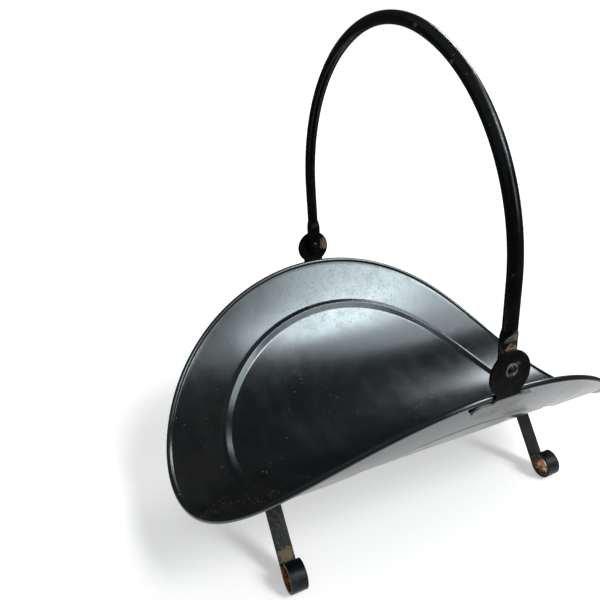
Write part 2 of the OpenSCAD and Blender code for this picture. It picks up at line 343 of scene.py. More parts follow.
def cut_away(bm, cutter):
    """The shape without what the cutter covers."""
    made = []
    for part in (bm, cutter):
        mesh = bpy.data.meshes.new("cutting")
        part.to_mesh(mesh)
        part.free()
        made.append(bpy.data.objects.new("cutting", mesh))
        bpy.context.scene.collection.objects.link(made[-1])
    cut = made[0].modifiers.new("cut", "BOOLEAN")
    cut.operation = "DIFFERENCE"
    cut.solver = "EXACT"
    cut.object = made[1]
    done = made[0].evaluated_get(bpy.context.evaluated_depsgraph_get())
    result = bmesh.new()
    result.from_mesh(done.data)
    for o in made:
        mesh = o.data
        bpy.data.objects.remove(o)
        bpy.data.meshes.remove(mesh)
    return result


def drill(bm, y, z, radius, depth):
    """The shape with a hole along Y through it, its middle at y and z."""
    cutter = bmesh.new()
    bmesh.ops.create_cone(cutter, cap_ends=True, segments=BORE_SIDES, radius1=radius,
                          radius2=radius, depth=depth)
    bmesh.ops.rotate(cutter, verts=cutter.verts, matrix=Matrix.Rotation(math.pi / 2, 3, "X"))
    bmesh.ops.translate(cutter, verts=cutter.verts, vec=(0, y, z))
    return cut_away(bm, cutter)


def to_front(bm):
    """Turns a rear piece into the front one, its mirror image."""
    bmesh.ops.scale(bm, vec=(1, -1, 1), verts=bm.verts)


# Helpers for materials

def put(tree, kind, inputs=None, **settings):
    """Adds a shader node; inputs holds values, or sockets to link."""
    node = tree.nodes.new("ShaderNode" + kind)
    for name, value in settings.items():
        setattr(node, name, value)
    for name, value in (inputs or {}).items():
        if isinstance(value, bpy.types.NodeSocket):
            tree.links.new(value, node.inputs[name])
        else:
            node.inputs[name].default_value = value
    return node


def calc(tree, operation, a, b=0.0):
    """A Math node on one or two values, each a number or a socket."""
    return put(tree, "Math", {0: a, 1: b}, operation=operation).outputs[0]


def plus(tree, a, b):
    return calc(tree, "ADD", a, b)


def minus(tree, a, b):
    return calc(tree, "SUBTRACT", a, b)


def times(tree, a, b):
    return calc(tree, "MULTIPLY", a, b)


def most(tree, *values):
    """The highest of some values."""
    highest = values[0]
    for value in values[1:]:
        highest = calc(tree, "MAXIMUM", highest, value)
    return highest


def reach_of(tree, a, b):
    """How far the point (a, b) is from the origin."""
    return calc(tree, "SQRT", plus(tree, calc(tree, "POWER", a, 2.0),
                                   calc(tree, "POWER", b, 2.0)))


def mixed(tree, *parts, base=None):
    """The sum of pairs of a mask and its weight, on top of a base if there is one."""
    total = None
    for mask, weight in parts:
        part = times(tree, mask, weight)
        total = part if total is None else plus(tree, total, part)
    return total if base is None else plus(tree, base, total)


def vector_calc(tree, operation, a, b):
    return put(tree, "VectorMath", {0: a, 1: b}, operation=operation).outputs[0]


def vector_length(tree, vector):
    return put(tree, "VectorMath", {0: vector}, operation="LENGTH").outputs["Value"]


def span(tree, value, low, high, out_low=0.0, out_high=1.0):
    """Carries a value from low..high to out_low..out_high, smoothly and held inside."""
    return put(tree, "MapRange", {"Value": value, "From Min": low, "From Max": high,
                                  "To Min": out_low, "To Max": out_high},
               interpolation_type="SMOOTHSTEP").outputs["Result"]


def tint(tree, amount, under, over):
    """The colour under, covered by the colour over as far as amount says."""
    node = put(tree, "Mix", {0: amount}, data_type="RGBA")
    for socket, value in ((node.inputs[6], under), (node.inputs[7], over)):
        if isinstance(value, bpy.types.NodeSocket):
            tree.links.new(value, socket)
        else:
            socket.default_value = (*value, 1)
    return node.outputs[2]


def object_place(tree):
    return put(tree, "TexCoord").outputs["Object"]


def new_group(name, inputs):
    """A shader node group with named float or vector inputs, which puts out a mask."""
    tree = bpy.data.node_groups.new(name, "ShaderNodeTree")
    for label, default in inputs.items():
        kind = "NodeSocketVector" if isinstance(default, tuple) else "NodeSocketFloat"
        socket = tree.interface.new_socket(label, in_out="INPUT", socket_type=kind)
        socket.default_value = default
    tree.interface.new_socket("Mask", in_out="OUTPUT", socket_type="NodeSocketFloat")
    return tree, tree.nodes.new("NodeGroupInput").outputs


def give(tree, mask):
    """Makes a value the mask that a group puts out."""
    out = tree.nodes.new("NodeGroupOutput")
    tree.links.new(mask, out.inputs["Mask"])


# Effects that several materials share

def make_clouds():
    """Soft cloudy change over a surface, from 0 to 1."""
    tree, given = new_group("clouds", {"Scale": 20.0, "Detail": 4.0, "Low": 0.4, "High": 0.6,
                                       "Stretch": (1.0, 1.0, 1.0)})
    place = vector_calc(tree, "MULTIPLY", object_place(tree), given["Stretch"])
    field = put(tree, "TexNoise", {"Vector": place, "Scale": given["Scale"],
                                   "Detail": given["Detail"], "Roughness": 0.6})
    give(tree, span(tree, field.outputs["Fac"], given["Low"], given["High"]))
    return tree


def make_specks():
    """Small round specks, as a mask. Share is the part of the cells that has one, and
    a speck's own radius is from 0.35 to 1.35 of Radius, in cells."""
    tree, given = new_group("specks", {"Scale": 400.0, "Share": 0.1, "Radius": 0.2})
    cells = put(tree, "TexVoronoi", {"Vector": object_place(tree), "Scale": given["Scale"]})
    pick = put(tree, "SeparateColor", {0: cells.outputs["Color"]})
    chosen = calc(tree, "LESS_THAN", pick.outputs[0], given["Share"])
    size = times(tree, given["Radius"], plus(tree, pick.outputs[1], 0.35))
    near = calc(tree, "LESS_THAN", cells.outputs["Distance"], size)
    give(tree, times(tree, near, chosen))
    return tree


def make_scratches():
    """Fine straight scratches, as a mask. Turn is their direction on the piece, Rare
    thins them out, and a higher Share gives them more of the surface."""
    tree, given = new_group("scratches", {"Scale": 500.0, "Rare": 0.7, "Share": 0.5,
                                          "Turn": (0.0, 0.0, 0.0), "Stretch": 0.015})
    fade = 0.06
    turned = put(tree, "VectorRotate", {"Vector": object_place(tree), "Rotation": given["Turn"]},
                 rotation_type="EULER_XYZ").outputs[0]
    thin = put(tree, "CombineXYZ", {"X": given["Stretch"], "Y": 1.0, "Z": 1.0})
    place = vector_calc(tree, "MULTIPLY", turned, thin.outputs[0])
    line = put(tree, "TexNoise", {"Vector": place, "Scale": given["Scale"], "Detail": 1.0})
    on_line = span(tree, line.outputs["Fac"], given["Rare"], plus(tree, given["Rare"], fade))
    gate = put(tree, "TexNoise", {"Vector": turned, "Scale": 24.0, "Detail": 3.0})
    inside = span(tree, gate.outputs["Fac"], given["Share"], minus(tree, given["Share"], fade))
    give(tree, times(tree, on_line, inside))
    return tree


def make_worn_edges():
    """Wear along outward edges, broken up by noise."""
    tree, given = new_group("worn_edges", {"Start": 0.52, "Full": 0.6, "Breakup": 180.0,
                                           "Amount": 0.6})
    edge = span(tree, put(tree, "NewGeometry").outputs["Pointiness"], given["Start"],
                given["Full"])
    rough = put(tree, "TexNoise", {"Vector": object_place(tree), "Scale": given["Breakup"],
                                   "Detail": 5.0})
    broken = span(tree, rough.outputs["Fac"], 0.42, 0.6)
    give(tree, times(tree, times(tree, edge, broken), given["Amount"]))
    return tree


def make_patch():
    """A worn place round a point, with a ragged edge. Along each axis it is whole up to
    0.7 of Reach, and ends at Reach."""
    tree, given = new_group("patch", {"Centre": (0.0, 0.0, 0.0), "Reach": (0.01, 0.01, 0.01),
                                      "Ragged": 0.5, "Grain": 150.0})
    away = vector_calc(tree, "SUBTRACT", object_place(tree), given["Centre"])
    far = vector_length(tree, vector_calc(tree, "DIVIDE", away, given["Reach"]))
    grain = put(tree, "TexNoise", {"Vector": object_place(tree), "Scale": given["Grain"],
                                   "Detail": 5.0, "Roughness": 0.65})
    push = times(tree, minus(tree, grain.outputs["Fac"], 0.5), times(tree, given["Ragged"], 4.0))
    give(tree, span(tree, plus(tree, far, push), 1.0, 0.7))
    return tree


CLOUDS = make_clouds()
SPECKS = make_specks()
SCRATCHES = make_scratches()
WORN_EDGES = make_worn_edges()
PATCH = make_patch()


def effect(tree, group, **values):
    """Places an effect group in a material, with its own values."""
    node = tree.nodes.new("ShaderNodeGroup")
    node.node_tree = group
    for name, value in values.items():
        node.inputs[name].default_value = value
    return node.outputs["Mask"]


def new_material(name):
    material = bpy.data.materials.new(name)
    material.use_nodes = True
    tree = material.node_tree
    return material, tree, tree.nodes["Principled BSDF"]


def finish_shader(tree, shader, colour, roughness, height, depth, gloss,
                  gloss_tint=(1, 1, 1)):
    """Links the worked-out colour, roughness and height to the shader. The depth is how
    deep, in metres, a height of 1 stands."""
    shader.inputs["Specular IOR Level"].default_value = gloss
    shader.inputs["Specular Tint"].default_value = (*gloss_tint, 1)
    tree.links.new(colour, shader.inputs["Base Color"])
    tree.links.new(roughness, shader.inputs["Roughness"])
    bump = put(tree, "Bump", {"Height": height, "Distance": depth, "Strength": 1.0})
    tree.links.new(bump.outputs[0], shader.inputs["Normal"])


# Colours of the pan's paint, its dirt and its wear, and of its painted highlight
GRAPHITE = (0.0040, 0.0052, 0.0055)
GRAPHITE_LIGHT = (0.0062, 0.0075, 0.0075)
GRAPHITE_BROWN = (0.012, 0.009, 0.005)
RUN_GREY = (0.012, 0.014, 0.014)
PAINTED_HIGHLIGHT_GREY = (0.055, 0.058, 0.06)
BLOTCH_BLACK = (0.004, 0.004, 0.004)
SCUFF_DUST = (0.20, 0.17, 0.13)
SCRATCH_GREY = (0.12, 0.12, 0.115)
SPECK_BLACK = (0.005, 0.005, 0.005)
SPECK_PALE = (0.30, 0.30, 0.29)
BEAD_WORN = (0.10, 0.10, 0.10)

# Places on the pan: a painted highlight and a specked stretch on the far flange, and worn scuffs
# at the left end of the near one
FAR_HIGHLIGHT_PLACE = {"Centre": (0.02, 0.160, 0.168), "Reach": (0.065, 0.03, 0.025)}
BLOTCHED_PLACE = {"Centre": (0.03, 0.150, 0.165), "Reach": (0.10, 0.06, 0.05)}
SCUFFED_PLACE = {"Centre": (-0.196, -0.071, 0.084), "Reach": (0.045, 0.03, 0.03)}

# The pan grows browner from the first of these places along X to the second
BROWN_START = -0.08
BROWN_FULL = -0.22


def pan_paint():
    """Graphite paint on the sheet: cloudy sheen, a mottled painted highlight on the far flange,
    fine specks and scuffs.
    """
    material, tree, shader = new_material("pan_paint")
    place = put(tree, "SeparateXYZ", {0: object_place(tree)})
    clouds = effect(tree, CLOUDS, Scale=9.0, Low=0.38, High=0.66)
    mottle = effect(tree, CLOUDS, Scale=55.0, Detail=6.0, Low=0.42, High=0.64)
    runs = effect(tree, CLOUDS, Scale=40.0, Detail=5.0, Low=0.45, High=0.68,
                  Stretch=(1.0, 0.25, 0.25))
    painted_highlight = effect(tree, PATCH, **FAR_HIGHLIGHT_PLACE, Ragged=0.25, Grain=60.0)
    blotched = effect(tree, PATCH, **BLOTCHED_PLACE, Ragged=0.35, Grain=80.0)
    scuffed = effect(tree, PATCH, **SCUFFED_PLACE, Ragged=0.8, Grain=90.0)
    light_specks = effect(tree, SPECKS, Scale=330.0, Share=0.03, Radius=0.14)
    dark_specks = effect(tree, SPECKS, Scale=420.0, Share=0.14, Radius=0.22)
    blotch_specks = effect(tree, SPECKS, Scale=850.0, Share=0.26, Radius=0.36)
    lines = effect(tree, SCRATCHES, Scale=620.0, Rare=0.74, Share=0.47,
                   Turn=(0.3, 0.2, 0.7))
    scuff_lines = effect(tree, SCRATCHES, Scale=700.0, Rare=0.66, Share=0.6,
                         Turn=(0.1, 0.4, -0.4))
    edges = effect(tree, WORN_EDGES, Start=0.53, Full=0.6, Breakup=120.0, Amount=0.5)
    brown = times(tree, span(tree, place.outputs["X"], BROWN_START, BROWN_FULL), clouds)

    colour = tint(tree, clouds, GRAPHITE, GRAPHITE_LIGHT)
    colour = tint(tree, times(tree, brown, 0.6), colour, GRAPHITE_BROWN)
    colour = tint(tree, times(tree, runs, 0.5), colour, RUN_GREY)
    # Lighter mottled grey where the key light reflects off the far flange: a painted highlight.
    colour = tint(tree, times(tree, painted_highlight, mottle), colour, PAINTED_HIGHLIGHT_GREY)
    colour = tint(tree, times(tree, blotched, blotch_specks), colour, BLOTCH_BLACK)
    dusty = times(tree, scuffed, plus(tree, scuff_lines, 0.02))
    colour = tint(tree, times(tree, dusty, 0.6), colour, SCUFF_DUST)
    colour = tint(tree, times(tree, lines, 0.45), colour, SCRATCH_GREY)
    colour = tint(tree, times(tree, dark_specks, 0.7), colour, SPECK_BLACK)
    colour = tint(tree, times(tree, light_specks, 0.7), colour, SPECK_PALE)
    colour = tint(tree, edges, colour, BEAD_WORN)

    spotted = times(tree, blotched, most(tree, blotch_specks, dark_specks))
    roughness = mixed(tree, (clouds, 0.02), (mottle, 0.03), (painted_highlight, 0.02), (runs, 0.02),
                      (dusty, 0.2), (lines, 0.2), (spotted, 0.3), base=0.21)
    peel = put(tree, "TexNoise", {"Vector": object_place(tree), "Scale": 900.0,
                                  "Detail": 2.0}).outputs["Fac"]
    height = mixed(tree, (peel, 0.12), (mottle, 0.15), (light_specks, 0.8),
                   (dark_specks, -0.25), (lines, -0.7))
    finish_shader(tree, shader, colour, roughness, height, depth=0.00006, gloss=0.72,
                  gloss_tint=(0.80, 0.95, 1.0))
    return material


# Colours of the ears' paint, of the painted reflection on the tongues, and of what shows where
# it is specked or worn
EAR_BLACK = (0.0018, 0.0022, 0.0025)
EAR_BLACK_LIGHT = (0.0036, 0.004, 0.0045)
TONGUE_PAINTED_REFLECTION = (0.14, 0.15, 0.145)
EAR_EDGE_WORN = (0.05, 0.047, 0.044)
EAR_BARE = (0.10, 0.095, 0.085)
EAR_GREEN = (0.075, 0.085, 0.065)
EAR_RUST_DARK = (0.13, 0.045, 0.013)
EAR_RUST_LIGHT = (0.32, 0.16, 0.07)
EAR_SPECK = (0.16, 0.16, 0.15)

# Worn places of the ears: by the front rivet, and along the rear disc's right side
BARE_PLACE = {"Centre": (0.0058, -0.1867, 0.2275), "Reach": (0.0036, 0.004, 0.0022)}
RUSTY_PLACE = {"Centre": (0.0165, 0.1845, 0.2240), "Reach": (0.0052, 0.004, 0.0098)}
GREEN_PLACE = {"Centre": (0.0105, 0.1845, 0.2235), "Reach": (0.0036, 0.004, 0.0085)}


def black_paint():
    """Black paint on the ears, a painted reflection of the floor on the tongues, worn at its
    edges, bare in places.
    """
    material, tree, shader = new_material("black_paint")
    place = put(tree, "SeparateXYZ", {0: object_place(tree)})
    mottle = effect(tree, CLOUDS, Scale=120.0, Detail=6.0, Low=0.4, High=0.66)
    specks = effect(tree, SPECKS, Scale=620.0, Share=0.07, Radius=0.22)
    edges = effect(tree, WORN_EDGES, Start=0.53, Full=0.6, Breakup=320.0, Amount=0.6)
    bare = effect(tree, PATCH, **BARE_PLACE, Ragged=0.7, Grain=420.0)
    rusty = effect(tree, PATCH, **RUSTY_PLACE, Ragged=0.22, Grain=350.0)
    greenish = effect(tree, PATCH, **GREEN_PLACE, Ragged=0.4, Grain=300.0)
    tone = effect(tree, CLOUDS, Scale=260.0, Detail=4.0, Low=0.4, High=0.62)

    on_tongue = span(tree, place.outputs["Z"], FOLD_Z + 0.5 * MM, FOLD_Z - 1.5 * MM)
    colour = tint(tree, mottle, EAR_BLACK, EAR_BLACK_LIGHT)
    # The tongues are painted pale grey below the fold: a painted reflection of the floor beneath
    # them.
    colour = tint(tree, on_tongue, colour, TONGUE_PAINTED_REFLECTION)
    colour = tint(tree, edges, colour, EAR_EDGE_WORN)
    colour = tint(tree, times(tree, bare, 0.5), colour, EAR_BARE)
    colour = tint(tree, times(tree, greenish, 0.8), colour, EAR_GREEN)
    rust = tint(tree, tone, EAR_RUST_DARK, EAR_RUST_LIGHT)
    colour = tint(tree, rusty, colour, rust)
    colour = tint(tree, times(tree, specks, 0.4), colour, EAR_SPECK)

    worn = most(tree, rusty, greenish)
    roughness = mixed(tree, (mottle, 0.08), (worn, 0.35), (bare, 0.2), base=0.30)
    height = mixed(tree, (mottle, 0.4), (specks, 0.5), (worn, -0.6), (tone, 0.2), (bare, -0.5))
    finish_shader(tree, shader, colour, roughness, height, depth=0.00008, gloss=0.14)
    return material


# Colours of the handle's paint, and of what shows where it is chipped or worn
HANDLE_BLACK = (0.0015, 0.0018, 0.002)
HANDLE_BLACK_LIGHT = (0.003, 0.0035, 0.004)
CHIP_GREY = (0.16, 0.155, 0.15)
HANDLE_BARE_DARK = (0.06, 0.035, 0.02)
HANDLE_BARE_LIGHT = (0.24, 0.17, 0.11)
HANDLE_SPECK = (0.16, 0.16, 0.16)

# Worn places of the handle: two above the near ear, and three chips on the hoop
WORN_PLACE = {"Centre": (0.0015, -0.1842, 0.2395), "Reach": (0.010, 0.006, 0.0065)}
BAND_PLACE = {"Centre": (0.0037, -0.190, 0.2580), "Reach": (0.008, 0.008, 0.0016)}
CHIP_REACH = (0.003, 0.003, 0.002)
CHIP_CENTRES = (
    (-0.0119, -0.0569, 0.4832),
    (-0.0119, -0.0651, 0.4747),
    (-0.0115, -0.1069, 0.4548),
)


def handle_paint():
    """Gloss black paint on the handle, chipped in places and worn above the near ear."""
    material, tree, shader = new_material("handle_paint")
    mottle = effect(tree, CLOUDS, Scale=70.0, Detail=5.0, Low=0.4, High=0.66)
    specks = effect(tree, SPECKS, Scale=300.0, Share=0.05, Radius=0.22)
    worn = effect(tree, PATCH, **WORN_PLACE, Ragged=0.6, Grain=260.0)
    band = effect(tree, PATCH, **BAND_PLACE, Ragged=0.8, Grain=420.0)
    chips = [effect(tree, PATCH, Centre=centre, Reach=CHIP_REACH, Ragged=0.6, Grain=500.0)
             for centre in CHIP_CENTRES]
    tone = effect(tree, CLOUDS, Scale=300.0, Detail=4.0, Low=0.4, High=0.62)

    chipped = most(tree, *chips, times(tree, band, 0.3))
    colour = tint(tree, mottle, HANDLE_BLACK, HANDLE_BLACK_LIGHT)
    colour = tint(tree, chipped, colour, CHIP_GREY)
    bare = tint(tree, tone, HANDLE_BARE_DARK, HANDLE_BARE_LIGHT)
    colour = tint(tree, worn, colour, bare)
    colour = tint(tree, times(tree, specks, 0.4), colour, HANDLE_SPECK)

    roughness = mixed(tree, (mottle, 0.10), (worn, 0.4), (chipped, 0.3), base=0.22)
    height = mixed(tree, (mottle, 0.6), (specks, 0.5), (worn, -0.6), (chipped, -0.9))
    finish_shader(tree, shader, colour, roughness, height, depth=0.00015, gloss=0.32,
                  gloss_tint=(0.85, 0.96, 1.0))
    return material


# Colours of the rivets and washers, and of the painted highlight on the front rivet
RIVET_BLACK = (0.002, 0.002, 0.0022)
RIVET_BLACK_LIGHT = (0.006, 0.006, 0.0058)
RIM_STEEL = (0.24, 0.235, 0.22)
PAINTED_HIGHLIGHT_STEEL = (0.22, 0.22, 0.21)

# The painted highlight on the front rivet's domed head
RIVET_HIGHLIGHT_PLACE = {"Centre": (0.0006, -0.1895, 0.2222), "Reach": (0.0011, 0.002, 0.0009)}


def rivet_steel():
    """Painted steel of the rivets and washers, worn bright round the washer's rim, and a painted
    highlight on the front rivet.
    """
    material, tree, shader = new_material("rivet_steel")
    place = put(tree, "SeparateXYZ", {0: object_place(tree)})
    up = minus(tree, place.outputs["Z"], PIVOT_Z)
    out = reach_of(tree, place.outputs["X"], up)
    mottle = effect(tree, CLOUDS, Scale=420.0, Detail=5.0, Low=0.38, High=0.62)
    broken = effect(tree, CLOUDS, Scale=300.0, Detail=6.0, Low=0.40, High=0.56)
    rivet_highlight = effect(tree, PATCH, **RIVET_HIGHLIGHT_PLACE, Ragged=0.3, Grain=600.0)
    rim = span(tree, out, HEAD_R + 0.1 * MM, HEAD_R + 0.6 * MM)
    worn = times(tree, rim, broken)

    colour = tint(tree, mottle, RIVET_BLACK, RIVET_BLACK_LIGHT)
    colour = tint(tree, times(tree, worn, 0.85), colour, RIM_STEEL)
    # A light grey patch on the front rivet's head: a painted highlight.
    colour = tint(tree, rivet_highlight, colour, PAINTED_HIGHLIGHT_STEEL)
    roughness = mixed(tree, (mottle, 0.12), (worn, 0.12), base=0.30)
    finish_shader(tree, shader, colour, roughness, mottle, depth=0.00006, gloss=0.3)
    return material


# Colours of the straps' paint, dust and rust
STRAP_BLUE = (0.003, 0.0045, 0.006)
STRAP_BLUE_LIGHT = (0.006, 0.0085, 0.0095)
STRAP_DUST = (0.09, 0.10, 0.09)
STRAP_EDGE_WORN = (0.07, 0.06, 0.05)
RUST_DARK = (0.065, 0.022, 0.009)
RUST_LIGHT = (0.30, 0.115, 0.035)
RUST_CREAM = (0.52, 0.37, 0.23)
LEG_TAN = (0.17, 0.13, 0.075)
EDGE_RUST = (0.27, 0.11, 0.035)

# Worn places by the near feet: the left leg, the left curl's outer edge, the right leg
LEFT_LEG_PLACE = {"Centre": (-0.1578, -0.0853, 0.0215), "Reach": (0.011, 0.0075, 0.0065)}
LEFT_EDGE_PLACE = {"Centre": (-0.1659, -0.0925, 0.0140), "Reach": (0.004, 0.006, 0.006)}
RIGHT_LEG_PLACE = {"Centre": (0.150, -0.0832, 0.0165), "Reach": (0.012, 0.0075, 0.0075)}

# The legs grow dustier from the first of these heights down to the second
DUST_START = 0.06
DUST_FULL = 0.025


def strap_paint():
    """Blue-black paint on the straps, dusty down the legs, with rust in the curls."""
    material, tree, shader = new_material("strap_paint")
    place = put(tree, "SeparateXYZ", {0: object_place(tree)})
    mottle = effect(tree, CLOUDS, Scale=90.0, Detail=6.0, Low=0.42, High=0.64)
    grit = effect(tree, SPECKS, Scale=520.0, Share=0.28, Radius=0.3)
    edges = effect(tree, WORN_EDGES, Start=0.52, Full=0.58, Breakup=220.0, Amount=0.6)
    tone = effect(tree, CLOUDS, Scale=240.0, Detail=5.0, Low=0.38, High=0.62)
    cream = effect(tree, CLOUDS, Scale=110.0, Detail=4.0, Low=0.48, High=0.58)

    is_right = calc(tree, "GREATER_THAN", place.outputs["X"], 0.0)
    spread = span(tree, is_right, 0.0, 1.0, LEFT_SPREAD, RIGHT_SPREAD)
    along = minus(tree, calc(tree, "ABSOLUTE", place.outputs["Y"]), spread)
    up = minus(tree, place.outputs["Z"], CURL_D / 2)
    inner_r = CURL_D / 2 - STRAP_T
    inside = span(tree, reach_of(tree, along, up), inner_r + 0.9 * MM, inner_r + 0.3 * MM)
    ragged = effect(tree, CLOUDS, Scale=180.0, Detail=6.0, Low=0.36, High=0.5)
    rust_in = times(tree, inside, ragged)
    worn_leg = effect(tree, PATCH, **LEFT_LEG_PLACE, Ragged=0.5, Grain=260.0)
    curl_edge = effect(tree, PATCH, **LEFT_EDGE_PLACE, Ragged=0.5, Grain=260.0)
    rust_leg = effect(tree, PATCH, **RIGHT_LEG_PLACE, Ragged=0.4, Grain=260.0)
    low = span(tree, place.outputs["Z"], DUST_START, DUST_FULL)

    colour = tint(tree, mottle, STRAP_BLUE, STRAP_BLUE_LIGHT)
    dust = times(tree, times(tree, grit, mottle), plus(tree, times(tree, low, 0.25), 0.08))
    colour = tint(tree, dust, colour, STRAP_DUST)
    colour = tint(tree, edges, colour, STRAP_EDGE_WORN)
    rust = tint(tree, tone, RUST_DARK, RUST_LIGHT)
    rust = tint(tree, times(tree, cream, 0.8), rust, RUST_CREAM)
    colour = tint(tree, most(tree, rust_in, rust_leg), colour, rust)
    colour = tint(tree, times(tree, worn_leg, 0.85), colour, LEG_TAN)
    colour = tint(tree, curl_edge, colour, EDGE_RUST)

    bare = most(tree, rust_in, worn_leg, curl_edge)
    roughness = mixed(tree, (mottle, 0.10), (bare, 0.45), (dust, 0.3), base=0.30)
    height = mixed(tree, (mottle, 0.5), (dust, 0.4), (bare, -0.5), (tone, 0.4))
    finish_shader(tree, shader, colour, roughness, height, depth=0.00014, gloss=0.16)
    return material


def studio_floor():
    """A pale sheet round the carrier; further out, only the camera meets a pale floor."""
    material, tree, shader = new_material("studio_floor")
    far = vector_length(tree, object_place(tree))
    near = span(tree, far, FLOOR_LIT_R + FLOOR_FADE, FLOOR_LIT_R)
    seen = put(tree, "LightPath").outputs["Is Camera Ray"]
    colour = tint(tree, most(tree, near, seen), FLOOR_DARK, FLOOR_PALE)
    tree.links.new(colour, shader.inputs["Base Color"])
    tree.links.new(colour, shader.inputs["Emission Color"])
    shader.inputs["Roughness"].default_value = 0.9
    shader.inputs["Emission Strength"].default_value = FLOOR_GLOW
    return material


# Shapes of the pieces

def arc(centre, radius, start, end, steps):
    """Points (a, b) along an arc, its ends included; the angles are in degrees."""
    return [(centre[0] + radius * math.cos(math.radians(start + (end - start) * i / steps)),
             centre[1] + radius * math.sin(math.radians(start + (end - start) * i / steps)))
            for i in range(steps + 1)]


def eased(points, radius):
    """A line of straight stretches whose corners are rounded, each from radius before the
    corner to radius after it."""
    corners = [Vector(p) for p in points]
    line = [corners[0]]
    for before, corner, after in zip(corners, corners[1:], corners[2:]):
        start = corner + (before - corner).normalized() * radius
        end = corner + (after - corner).normalized() * radius
        for i in range(CORNER_STEPS + 1):
            t = i / CORNER_STEPS
            line.append(start.lerp(corner, t).lerp(corner.lerp(end, t), t))
    return line + [corners[-1]]


def pan_section():
    """Section of the flat disc: out along the inner face over the pressed rib, round the
    bead and back along the outer face."""
    flange_start = PAN_R - FLANGE_W + RIB_LEAD_OUT
    bead_in = 180 - math.degrees(math.asin((BEAD_R - FLANGE_DROP) / BEAD_R))
    bead_out = -180 - math.degrees(math.asin((BEAD_R - FLANGE_DROP - SHEET_T) / BEAD_R))
    flange_end = PAN_R - BEAD_R + BEAD_R * math.cos(math.radians(bead_in))
    flange_l = flange_end - BEAD_FILLET - flange_start
    turn_up = flange_end - BEAD_FILLET / 4

    panel = [(PANEL_R * i / PANEL_RINGS, PANEL_H) for i in range(PANEL_RINGS)]
    rib = eased([(PANEL_R - RIB_LEAD_IN, PANEL_H), (PANEL_R, PANEL_H), (RIB_R, CREST_H),
                 (PAN_R - FLANGE_W, -FLANGE_DROP), (flange_start, -FLANGE_DROP)], RIB_ROUND)
    flange = [(flange_start + flange_l * i / FLANGE_RINGS, -FLANGE_DROP)
              for i in range(1, FLANGE_RINGS + 1)]
    bead = arc((PAN_R - BEAD_R, -BEAD_R), BEAD_R, bead_in - BEAD_OPEN, bead_out + BEAD_OPEN,
               BEAD_STEPS)
    inner = panel + rib + flange + [(turn_up, FILLET_H)]
    outer = [(r, h - SHEET_T) for r, h in reversed(panel + rib + flange)]
    return inner + bead + [(turn_up, TUCK_H)] + outer


def pan():
    """The dish: its flat section spun round, with a slight waviness, and then bent."""
    bm = bmesh.new()
    turn_round(bm, [(r, 0, h) for r, h in pan_section()], (0, 0, 1), PAN_SIDES)
    for v in bm.verts:
        v.co.z += SHEET_WAVE * noise.noise(Vector((v.co.x, v.co.y, 0)) / WAVE_LENGTH)
        v.co = bent(v.co)
    return bm


def ear_outline():
    """The ear before it is folded: its disc on a neck above, its half round tongue below."""
    neck = NECK_W / 2
    disc_a = math.degrees(math.atan2(-DISC_UP, neck))
    disc = arc((0, NECK_H + DISC_UP), EAR_D / 2, disc_a, 180 - disc_a, DISC_STEPS)
    side = math.sqrt((TONGUE_R - TONGUE_CORNER) ** 2 - TONGUE_CORNER ** 2)
    side_a = math.degrees(math.atan2(TONGUE_CORNER, side))
    corner_y = -TONGUE_DROP - TONGUE_CORNER
    left_corner = arc((-side, corner_y), TONGUE_CORNER, 90, 180 + side_a,
                      TONGUE_CORNER_STEPS)
    tip = arc((0, -TONGUE_DROP), TONGUE_R, 180 + side_a, 360 - side_a, TONGUE_STEPS)
    right_corner = arc((side, corner_y), TONGUE_CORNER, -side_a, 90, TONGUE_CORNER_STEPS)
    return (disc + [(-neck, -TONGUE_DROP)] + left_corner + tip[1:-1] + right_corner
            + [(neck, -TONGUE_DROP)])


def fold_ear(p):
    """Carries a point of the flat ear over the fold: p.y along it, p.z out from its
    inner face."""
    centre_y = EAR_IN - FOLD_R
    centre_z = FOLD_Z + FOLD_START
    v = p.y - FOLD_START
    if v >= 0:
        return Vector((p.x, EAR_IN + p.z, centre_z + v))
    a = min(-v / FOLD_L, 1) * FOLD_TURN
    y = centre_y + (FOLD_R + p.z) * math.cos(a)
    z = centre_z - (FOLD_R + p.z) * math.sin(a)
    past = max(-v - FOLD_L, 0)
    return Vector((p.x, y - past * math.sin(a), z - past * math.cos(a)))


def ear():
    """The rear ear: a flat plate with rounded rims, folded and drilled for the rivet."""
    bm = bmesh.new()
    verts, edges = chain(bm, [(x, y, 0) for x, y in ear_outline()])
    edges.append(bm.edges.new((verts[-1], verts[0])))
    bmesh.ops.contextual_create(bm, geom=edges)
    made = bmesh.ops.extrude_face_region(bm, geom=bm.faces[:])["geom"]
    bmesh.ops.translate(bm, verts=only(bmesh.types.BMVert, made), vec=(0, 0, EAR_T))
    bmesh.ops.recalc_face_normals(bm, faces=bm.faces)
    round_rims(bm, EAR_ROUND, segments=3, limited=False)
    bmesh.ops.inset_region(bm, faces=flat_ends(bm), thickness=EAR_MARGIN,
                           use_even_offset=True)
    for i in range(FOLD_STEPS + 1):
        bmesh.ops.bisect_plane(bm, geom=bm.verts[:] + bm.edges[:] + bm.faces[:],
                               dist=ON_THE_CUT, plane_no=(0, 1, 0),
                               plane_co=(0, FOLD_START - FOLD_L * i / FOLD_STEPS, 0))
    for v in bm.verts:
        v.co = fold_ear(v.co)
    return drill(bm, EAR_IN, PIVOT_Z, RIVET_R + RIVET_GAP, 4 * EAR_T)


